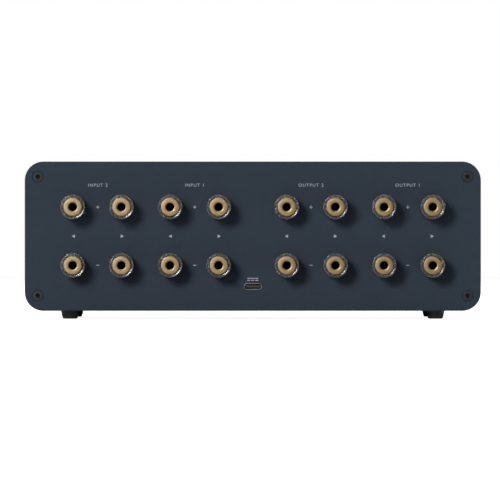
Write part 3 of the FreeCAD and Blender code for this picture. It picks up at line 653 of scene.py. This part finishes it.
def post_stems():
    """Threaded stems with their plug bores, flanges and solder tails."""
    rows = int((FLANGE_FRONT - STEM_FRONT) / THREAD_PITCH * THREAD_STEPS)
    step = (FLANGE_FRONT - STEM_FRONT - CHAMFER) / rows
    thread_rows = [(THREAD_RADIUS, STEM_FRONT + CHAMFER + step * row) for row in range(rows + 1)]
    shoulder = STEM_BACK - TAIL_LENGTH
    profile = [
        (0, BORE_END), (BORE_RADIUS, BORE_END), (BORE_RADIUS, STEM_FRONT + CHAMFER),
        (BORE_RADIUS + CHAMFER, STEM_FRONT), (THREAD_RADIUS - CHAMFER, STEM_FRONT),
        *thread_rows,
        *eased([
            (THREAD_RADIUS, FLANGE_FRONT, 0), (FLANGE_RADIUS, FLANGE_FRONT, CHAMFER),
            (FLANGE_RADIUS, FLANGE_BACK, CHAMFER), (THREAD_RADIUS, FLANGE_BACK, 0),
        ]),
        (THREAD_RADIUS, shoulder), (TAIL_RADIUS, shoulder),
        (TAIL_RADIUS, STEM_BACK - CHAMFER), (TAIL_RADIUS - CHAMFER, STEM_BACK), (0, STEM_BACK),
    ]
    single = bmesh.new()
    turn(single, profile, rear, steps=32, shape=thread, closed=False)
    cleaned(single)
    drill = bmesh.new()
    half = FLANGE_RADIUS

    def upright(u, depth, v):
        """A point of the drill, which stands across the stem."""
        return rear(u, WIRE_HOLE_DEPTH + v, depth)

    turn(drill, [(0, -half), (WIRE_HOLE_RADIUS, -half), (WIRE_HOLE_RADIUS, half), (0, half)],
         upright, steps=24, closed=False)
    cleaned(drill)
    helpers = []
    for name, bm in (("stem_blank", single), ("stem_drill", drill)):
        mesh = bpy.data.meshes.new(name)
        bm.to_mesh(mesh)
        bm.free()
        helper = bpy.data.objects.new(name, mesh)
        bpy.context.collection.objects.link(helper)
        helpers.append(helper)
    blank, cutter = helpers
    cut = blank.modifiers.new("wire_hole", "BOOLEAN")
    cut.operation = "DIFFERENCE"
    cut.object = cutter
    cut.solver = "EXACT"
    blank.data.materials.append(STEM_GOLD)
    blank.data.materials.append(PAINTED_RECESS_SHADE)
    # Painted shade: faces inside the plug bore take the near-black material instead of gold
    for face in blank.data.polygons:
        across = math.hypot(face.center.x, face.center.z - MIDDLE_Z) / MM
        in_painted_shade = across < BORE_RADIUS + 0.01 and face.center.y < REAR_FACE - 0.5 * MM
        face.material_index = int(in_painted_shade)
    evaluated = blank.evaluated_get(bpy.context.evaluated_depsgraph_get())
    drilled = bpy.data.meshes.new_from_object(evaluated)
    joined = bmesh.new()
    for number, x, z in POSTS:
        before = len(joined.verts)
        joined.from_mesh(drilled)
        joined.verts.ensure_lookup_table()
        for vert in joined.verts[before:]:
            vert.co += Vector((x * MM, 0, z * MM))
    for helper in helpers:
        bpy.data.objects.remove(helper)
    kept("threaded_stems", joined, (STEM_GOLD, PAINTED_RECESS_SHADE), "case", ["post_stems"])


# Screws

HEX_ACROSS = 2.0
SCREW_HEAD_RADIUS = 2.75
SCREW_HEAD_HEIGHT = 1.25
SCREW_RADIUS = 1.5
SCREW_LENGTH = 9.0
SCREW_EASE = 0.3
DRIVE_DEPTH = 1.0
DRIVE_POINT = 1.1
DRIVE_CHAMFER = 0.12
DRIVE_MARGIN = 0.08
HEX_LIMIT = HEX_ACROSS * 0.55


def hexed(radius, depth, angle):
    """A screw's radius, with the drive in its head drawn as a hexagon."""
    if not 0 < radius < HEX_LIMIT:
        return radius
    turned_by = (angle + math.pi / 6) % (math.pi / 3) - math.pi / 6
    return radius / math.cos(turned_by)


def panel_screws():
    """Flush screws with rounded heads and hexagon drives, at both ends of the case."""
    low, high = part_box("panel_screws")
    side = (high.x - low.x) / MM / 2 - SCREW_HEAD_RADIUS
    level = (high.z - low.z) / MM / 2 - SCREW_HEAD_RADIUS
    ends = ((rear, (low.y - REAR_FACE) / MM), (front, (FRONT_FACE - high.y) / MM))
    apothem = HEX_ACROSS / 2
    bm = bmesh.new()
    for place, face in ends:
        shank = face + SCREW_LENGTH
        profile = [
            (0, face + DRIVE_POINT), (apothem, face + DRIVE_DEPTH),
            (apothem, face + DRIVE_CHAMFER),
            *eased([
                (apothem + DRIVE_CHAMFER, face, 0), (SCREW_HEAD_RADIUS, face, SCREW_EASE),
                (SCREW_RADIUS, face + SCREW_HEAD_HEIGHT, 0),
            ]),
            (SCREW_RADIUS, shank - SCREW_EASE), (SCREW_RADIUS - SCREW_EASE, shank), (0, shank),
        ]
        for u in (-side, side):
            for v in (-level, level):
                turn(bm, profile, place, (u, v), 48, hexed, closed=False)
    finishes = (BLACK_STEEL, PAINTED_RECESS_SHADE)
    piece = kept("flush_screws", bm, finishes, "case", ["panel_screws"])
    centres = [Vector((u * MM, MIDDLE_Z + v * MM)) for u in (-side, side) for v in (-level, level)]
    drive_reach = (apothem + DRIVE_MARGIN) * MM
    drive_end = 2 * SCREW_HEAD_HEIGHT * MM
    # Painted shade: the faces of each hex drive take the near-black material instead of the head's
    # black steel
    for polygon in piece.data.polygons:
        middle = Vector((polygon.center.x, polygon.center.z))
        in_painted_shade = min((middle - centre).length for centre in centres) < drive_reach
        near_face = not REAR_FACE + drive_end < polygon.center.y < FRONT_FACE - drive_end
        polygon.material_index = int(in_painted_shade and near_face)


# Feet

FOOT_RADIUS = 4.65
FOOT_LINE = ((4.05, 1.3, 0.1), (3.93, 1.22, 0.05))
SOLE_RADIUS = 3.6
SOLE_EASE = 0.75
HOLLOW_RADIUS = 2.9
HOLLOW_HEIGHT = 1.9


def rubber_feet():
    """Tapered feet with rounded soles and a fine line, hollowed for their screws."""
    low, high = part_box("feet")
    top = high.z / MM
    places = [
        (x, y)
        for x in (low.x / MM + FOOT_RADIUS, high.x / MM - FOOT_RADIUS)
        for y in (low.y / MM + FOOT_RADIUS, high.y / MM - FOOT_RADIUS)
    ]
    profile = eased([
        (SCREW_RADIUS, top, 0), (FOOT_RADIUS, top, 0.2), *FOOT_LINE,
        (SOLE_RADIUS, 0, SOLE_EASE), (HOLLOW_RADIUS, 0, 0.3),
        (HOLLOW_RADIUS, HOLLOW_HEIGHT, 0.2), (SCREW_RADIUS, HOLLOW_HEIGHT, 0),
    ])
    bm = bmesh.new()
    for place in places:
        turn(bm, profile, ground, place, 48)
    kept("rubber_feet", bm, RUBBER, "case", ["feet"])


# Power socket

SHELL_WALL = 0.3
SHELL_CORNER = 1.5
CONTACTS = 12
CONTACT_PITCH = 0.5
CONTACT_DEPTHS = (1.35, 5.2)
CONTACT_LEVEL = 0.36
CONTACT_WIDTH = 0.26
CONTACT_HEIGHT = 0.05


def power_socket():
    """The rolled metal shell and the contacts on its tongue."""
    low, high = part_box("usb_c_shell")
    middle_v = ((low.z + high.z) / 2 - MIDDLE_Z) / MM
    half_width = (high.x - low.x) / MM / 2
    half_height = (high.z - low.z) / MM / 2
    mouth = (low.y - REAR_FACE) / MM
    back = (high.y - REAR_FACE) / MM
    rings = []
    sections = [
        (0.0, back), (0.0, mouth + 0.15), (0.05, mouth + 0.04), (0.12, mouth),
        (SHELL_WALL - 0.12, mouth), (SHELL_WALL - 0.04, mouth + 0.04),
        (SHELL_WALL, mouth + 0.2), (SHELL_WALL, back),
    ]
    for inset, depth in sections:
        outline = round_box(half_width - inset, half_height - inset, SHELL_CORNER - inset)
        rings.append([rear(u, depth, v + middle_v) for u, v in outline])
    bm = bmesh.new()
    loft(bm, rings, profile_lengths(sections))
    kept("socket_shell", bm, NICKEL, "case", ["usb_c_shell"])
    bm = bmesh.new()
    for side in (-1, 1):
        for contact in range(CONTACTS):
            u = (contact - (CONTACTS - 1) / 2) * CONTACT_PITCH
            centre = (u, middle_v + side * CONTACT_LEVEL)
            prism(bm, bar(centre, CONTACT_WIDTH, CONTACT_HEIGHT), rear, *CONTACT_DEPTHS)
    kept("socket_contacts", bm, STEM_GOLD, "case")


# Print on the connection panel

GROUP_LABELS = ("INPUT 2", "INPUT 1", "OUTPUT 2", "OUTPUT 1")
LABEL_HEIGHT = 1.6
LABEL_LEVEL = 25.2
LABEL_GAP = 1.25
SIGN_LENGTH = 1.6
SIGN_STROKE = 0.3
ARROW_TIP = 0.95
ARROW_BACK = 0.65
ARROW_HALF_HEIGHT = 0.85
CURRENT_LEVEL = -21.4
CURRENT_LENGTH = 5.4
CURRENT_DASH = 1.4
CURRENT_PITCH = 2.0
CURRENT_STROKE = 0.34


def connection_print():
    """Generic group words, signs and arrowheads between the posts."""
    for centre, text in zip(GROUP_CENTRES, GROUP_LABELS):
        name = "print_" + text.replace(" ", "_").lower()
        lettered(name, text, rear, centre, LABEL_LEVEL, LABEL_HEIGHT, 0, INK_WHITE,
                 "panel_paint", gap=LABEL_GAP)
    signs = []
    arm = (SIGN_LENGTH - SIGN_STROKE) / 2
    lift = (SIGN_STROKE + arm) / 2
    for centre in GROUP_CENTRES:
        signs.append(bar((centre, POST_ROW), SIGN_LENGTH, SIGN_STROKE))
        signs.append(bar((centre, POST_ROW + lift), SIGN_STROKE, arm))
        signs.append(bar((centre, POST_ROW - lift), SIGN_STROKE, arm))
        signs.append(bar((centre, -POST_ROW), SIGN_LENGTH, SIGN_STROKE))
    printed("print_signs", signs, rear, 0, INK_WHITE)
    arrows = []
    for index, column in enumerate(POST_COLUMNS):
        side = 1 if index % 2 else -1
        back = column - side * ARROW_BACK
        arrows.append([
            (column + side * ARROW_TIP, 0.0), (back, ARROW_HALF_HEIGHT), (back, -ARROW_HALF_HEIGHT),
        ])
    printed("print_arrows", arrows, rear, 0, INK_WHITE)
    current = [bar((0, CURRENT_LEVEL + 0.55), CURRENT_LENGTH, CURRENT_STROKE)]
    current += [
        bar((dash * CURRENT_PITCH, CURRENT_LEVEL - 0.45), CURRENT_DASH, CURRENT_STROKE)
        for dash in (-1, 0, 1)
    ]
    printed("print_direct_current", current, rear, 0, INK_WHITE)


# User's panel: meters, knobs, button and print

DIAL_HALF_WIDTH = 28.2
METER_CENTRES = (dial_low.x / MM + DIAL_HALF_WIDTH, -dial_low.x / MM - DIAL_HALF_WIDTH)
PIVOT_DROP = 14.0
DIAL_DEPTH = (FRONT_FACE - dial_high.y) / MM
PANE_BACK = 5.8
SCALE_RADIUS = 25.4
SCALE_LIMIT = 45.0
SCALE = ((-45, "20"), (-24, "10"), (-12, "7"), (-2, "5"), (9, "3"), (24, "0"), (45, "3"))
SMALL_TICKS = (-38, -31, -18, -7, 3.5, 14, 19)
RED_FROM = 24.0
RED_TICKS = (RED_FROM, 31, 38, SCALE_LIMIT)
BAND_WIDTH = 0.4
RED_BAND_WIDTH = 0.9
TICK_LENGTH = 2.0
TICK_WIDTH = 0.35
SMALL_TICK_LENGTH = 1.0
SMALL_TICK_WIDTH = 0.2
NUMBER_GAP = 3.8
NUMBER_HEIGHT = 2.4
FRAME_HALF_WIDTH = 28.65
FRAME_HALF_HEIGHT = 21.45
FRAME_CORNER = 2.8
COVER_HALF_WIDTH = 26.2
COVER_FOOT = -19.0
COVER_TOP = -14.6
COVER_RADIUS = 8.0
COVER_CENTRE = -16.5
COVER_DEPTHS = (7.4, 8.4)
COVER_ARC = (14, 152)
COVER_STEPS = 20


def on_dial(centre, radius, degrees):
    """A point of a dial by its radius from the pivot and its angle from straight up."""
    angle = math.radians(degrees)
    return (centre + radius * math.sin(angle), radius * math.cos(angle) - PIVOT_DROP)


def band(centre, inner, outer, start, end, steps=24):
    """The outline of a curved band of a scale."""
    turns = [start + (end - start) * step / steps for step in range(steps + 1)]
    outline = [on_dial(centre, outer, turn_angle) for turn_angle in turns]
    return outline + [on_dial(centre, inner, turn_angle) for turn_angle in reversed(turns)]


def tick(centre, degrees, inner, outer, width):
    """One line of a scale."""
    half = math.degrees(width / 2 / outer)
    return band(centre, inner, outer, degrees - half, degrees + half, 1)


def meters():
    """Printed scales, frames and the covers over the needles' pivots."""
    for name, centre in zip(("left", "right"), METER_CENTRES):
        tick_end = SCALE_RADIUS + TICK_LENGTH
        small_end = SCALE_RADIUS + SMALL_TICK_LENGTH
        black = [band(centre, SCALE_RADIUS, SCALE_RADIUS + BAND_WIDTH, -SCALE_LIMIT, RED_FROM)]
        black += [tick(centre, degrees, SCALE_RADIUS, tick_end, TICK_WIDTH)
                  for degrees, text in SCALE if degrees < RED_FROM]
        black += [tick(centre, degrees, SCALE_RADIUS, small_end, SMALL_TICK_WIDTH)
                  for degrees in SMALL_TICKS]
        printed(f"{name}_scale", black, front, DIAL_DEPTH, INK_BLACK)
        red = [band(centre, SCALE_RADIUS, SCALE_RADIUS + RED_BAND_WIDTH, RED_FROM, SCALE_LIMIT)]
        red += [tick(centre, degrees, SCALE_RADIUS, tick_end, TICK_WIDTH)
                for degrees in RED_TICKS]
        printed(f"{name}_scale_red", red, front, DIAL_DEPTH, INK_RED)
        for index, (degrees, text) in enumerate(SCALE):
            u, v = on_dial(centre, SCALE_RADIUS + NUMBER_GAP, degrees)
            ink = INK_RED if degrees >= RED_FROM else INK_BLACK
            lettered(f"{name}_number_{index}", text, front, u, v, NUMBER_HEIGHT, DIAL_DEPTH, ink,
                     "dial_card", True)
        frame_rings = []
        sections = [
            (0.0, PANE_BACK + 0.05), (1.7, PANE_BACK + 0.05), (2.3, PANE_BACK + 1.2),
            (2.3, DIAL_DEPTH - 0.1), (0.0, DIAL_DEPTH - 0.1),
        ]
        for inset, depth in sections:
            half_width, half_height = FRAME_HALF_WIDTH - inset, FRAME_HALF_HEIGHT - inset
            outline = round_box(half_width, half_height, FRAME_CORNER - inset / 2)
            frame_rings.append([front(u + centre, depth, v) for u, v in outline])
        bm = bmesh.new()
        loft(bm, frame_rings, profile_lengths(sections))
        kept(f"{name}_meter_frame", bm, NYLON, "case")
        cover = [
            (-COVER_HALF_WIDTH, COVER_FOOT), (COVER_HALF_WIDTH, COVER_FOOT),
            (COVER_HALF_WIDTH, COVER_TOP),
        ]
        for step in range(COVER_STEPS + 1):
            angle = math.radians(COVER_ARC[0] + COVER_ARC[1] * step / COVER_STEPS)
            across = COVER_RADIUS * math.cos(angle)
            cover.append((across, COVER_RADIUS * math.sin(angle) + COVER_CENTRE))
        cover.append((-COVER_HALF_WIDTH, COVER_TOP))
        bm = bmesh.new()
        prism(bm, [(u + centre, v) for u, v in cover], front, *COVER_DEPTHS)
        kept(f"{name}_pivot_cover", bm, NYLON, "case")


KNOB_RADIUS = 14.0
KNOB_FRONT = -16.0
KNURL_RIDGES = 72
KNURL_DEPTH = 0.22
KNURL_FRONT = -13.6
KNURL_BACK = -3.4
POINTER_HALF_WIDTH = 0.6
POINTER_HALF_LENGTH = 3.6
POINTER_CORNER = 0.55
POINTER_PLACE = 6.6


def knurl(radius, depth, angle):
    """A knob's radius, cut by straight knurling along its side."""
    if radius < KNOB_RADIUS - 0.01 or not KNURL_FRONT < depth < KNURL_BACK:
        return radius
    return radius - KNURL_DEPTH * abs(math.sin(KNURL_RIDGES * angle / 2))


def knobs():
    """Turned knobs with knurled sides, a dished face and a white pointer.

    The profile gives the radius and depth of each corner, from the face's middle round the grip,
    up its hollow and along the shaft.
    """
    profile = [
        (0, KNOB_FRONT + 0.25), (6.0, KNOB_FRONT + 0.22), (11.2, KNOB_FRONT + 0.2),
        (11.5, KNOB_FRONT + 0.05), (11.8, KNOB_FRONT), (12.9, KNOB_FRONT),
        (13.45, KNOB_FRONT + 0.15), (13.85, KNOB_FRONT + 0.55), (KNOB_RADIUS, KNOB_FRONT + 1.1),
        (KNOB_RADIUS, -13.8), (KNOB_RADIUS, -13.5), (KNOB_RADIUS, -3.5), (KNOB_RADIUS, -3.2),
        (KNOB_RADIUS, -1.2), (13.7, -0.85), (13.2, -0.8), (9.5, -0.8), (9.5, -7.0),
        (3.0, -7.0), (3.0, 15.2), (2.7, 15.5), (0, 15.5),
    ]
    for name in ("input_knob", "output_knob"):
        low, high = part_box(name)
        u = -(low.x + high.x) / 2 / MM
        bm = bmesh.new()
        turn(bm, profile, front, (u, 0), KNURL_RIDGES * 4, knurl, closed=False)
        kept(f"{name}_turned", bm, KNOB_METAL, name + "_body", [name])
        outline = round_box(POINTER_HALF_WIDTH, POINTER_HALF_LENGTH, POINTER_CORNER, 5)
        pointer = [(u + across, v + POINTER_PLACE) for across, v in outline]
        bm = bmesh.new()
        prism(bm, pointer, front, KNOB_FRONT + 0.4, KNOB_FRONT + 0.1)
        kept(f"{name}_pointer", bm, INK_WHITE, name + "_body")


def button():
    """The light button, dished for a fingertip, by the radius and depth of each corner."""
    low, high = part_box("light_button")
    u = -(low.x + high.x) / 2 / MM
    v = ((low.z + high.z) / 2 - MIDDLE_Z) / MM
    rod_end = (FRONT_FACE - low.y) / MM
    profile = [
        (0, -1.85), (1.2, -1.88), (2.2, -2.0), (2.7, -2.17), (2.95, -2.2), (3.15, -2.1),
        (3.3, -1.85), (3.3, 4.3), (4.3, 4.3), (4.3, 5.1), (1.6, 5.1), (1.6, rod_end - 0.2),
        (1.4, rod_end), (0, rod_end),
    ]
    bm = bmesh.new()
    turn(bm, profile, front, (u, v), 48, closed=False)
    kept("light_button_turned", bm, KNOB_METAL, "light_button_body",
         ["light_button"])


KNOB_PLACE = 86.0
KNOB_WORDS = (
    ("input", "INPUT", -KNOB_PLACE, ((-30, "1"), (0, "0"), (30, "2"))),
    ("output", "OUTPUT", KNOB_PLACE, ((-30, "1"), (0, "1+2"), (30, "2"))),
)
WORD_LEVEL = 27.5
WORD_HEIGHT = 2.2
WORD_GAP = 1.2
MARK_RADIUS = 19.0
MARK_LIFT = 1.2
MARK_HEIGHT = 2.0
DOT_PLACE = 16.0
DOT_RADIUS = 0.45
DOT_STEPS = 16
LIGHT_WORD_PLACE = (KNOB_PLACE - 11.0, -27.0)
LIGHT_WORD_HEIGHT = 1.6


def user_print():
    """Words, numbers and dots round the knobs, and the button's word."""
    for name, word, u, marks in KNOB_WORDS:
        lettered(f"print_{name}", word, front, u, WORD_LEVEL, WORD_HEIGHT, 0, INK_WHITE,
                 "panel_paint", True, WORD_GAP)
        dots = []
        for index, (degrees, text) in enumerate(marks):
            angle = math.radians(degrees)
            across = u + MARK_RADIUS * math.sin(angle)
            up = MARK_RADIUS * math.cos(angle) + MARK_LIFT
            lettered(f"print_{name}_{index}", text, front, across, up, MARK_HEIGHT, 0, INK_WHITE,
                     "panel_paint", True)
            dot = (u + DOT_PLACE * math.sin(angle), DOT_PLACE * math.cos(angle))
            dots.append([
                (dot[0] + DOT_RADIUS * math.cos(math.tau * step / DOT_STEPS),
                 dot[1] + DOT_RADIUS * math.sin(math.tau * step / DOT_STEPS))
                for step in range(DOT_STEPS)
            ])
        printed(f"print_{name}_dots", dots, front, 0, INK_WHITE)
    lettered("print_light", "LIGHT", front, *LIGHT_WORD_PLACE, LIGHT_WORD_HEIGHT, 0, INK_WHITE,
             "panel_paint", True, WORD_GAP)


def floor():
    """A plain pale floor, which glows only for what the camera sees directly."""
    bm = bmesh.new()
    corners = [(-FLOOR_HALF, -FLOOR_HALF), (FLOOR_HALF, -FLOOR_HALF), (FLOOR_HALF, FLOOR_HALF),
               (-FLOOR_HALF, FLOOR_HALF)]
    bm.faces.new([bm.verts.new((x, y, 0)) for x, y in corners])
    mesh = bpy.data.meshes.new("floor")
    bm.to_mesh(mesh)
    bm.free()
    pale = Material("floor_pale", (0.80, 0.80, 0.80), 0.8)
    pale.tint(pale.noise(3.0), 0.98, 1.0)
    rays = pale.nodes.new("ShaderNodeLightPath")
    glow = pale.nodes.new("ShaderNodeMath")
    glow.operation = "MULTIPLY"
    glow.inputs[1].default_value = FLOOR_GLOW
    pale.links.new(rays.outputs["Is Camera Ray"], glow.inputs[0])
    pale.links.new(glow.outputs[0], pale.shader.inputs["Emission Strength"])
    pale.set("Emission Color", WHITE)
    mesh.materials.append(pale.made)
    piece = bpy.data.objects.new("floor", mesh)
    bpy.context.collection.objects.link(piece)


make_camera()
make_world()
for name, (place, size, watts) in LIGHTS.items():
    make_light(name, place, size, watts)
bpy.context.scene.view_settings.view_transform = "Standard"
floor()
cap_nuts()
cap_jackets()
post_stems()
panel_screws()
rubber_feet()
power_socket()
connection_print()
meters()
knobs()
button()
user_print()
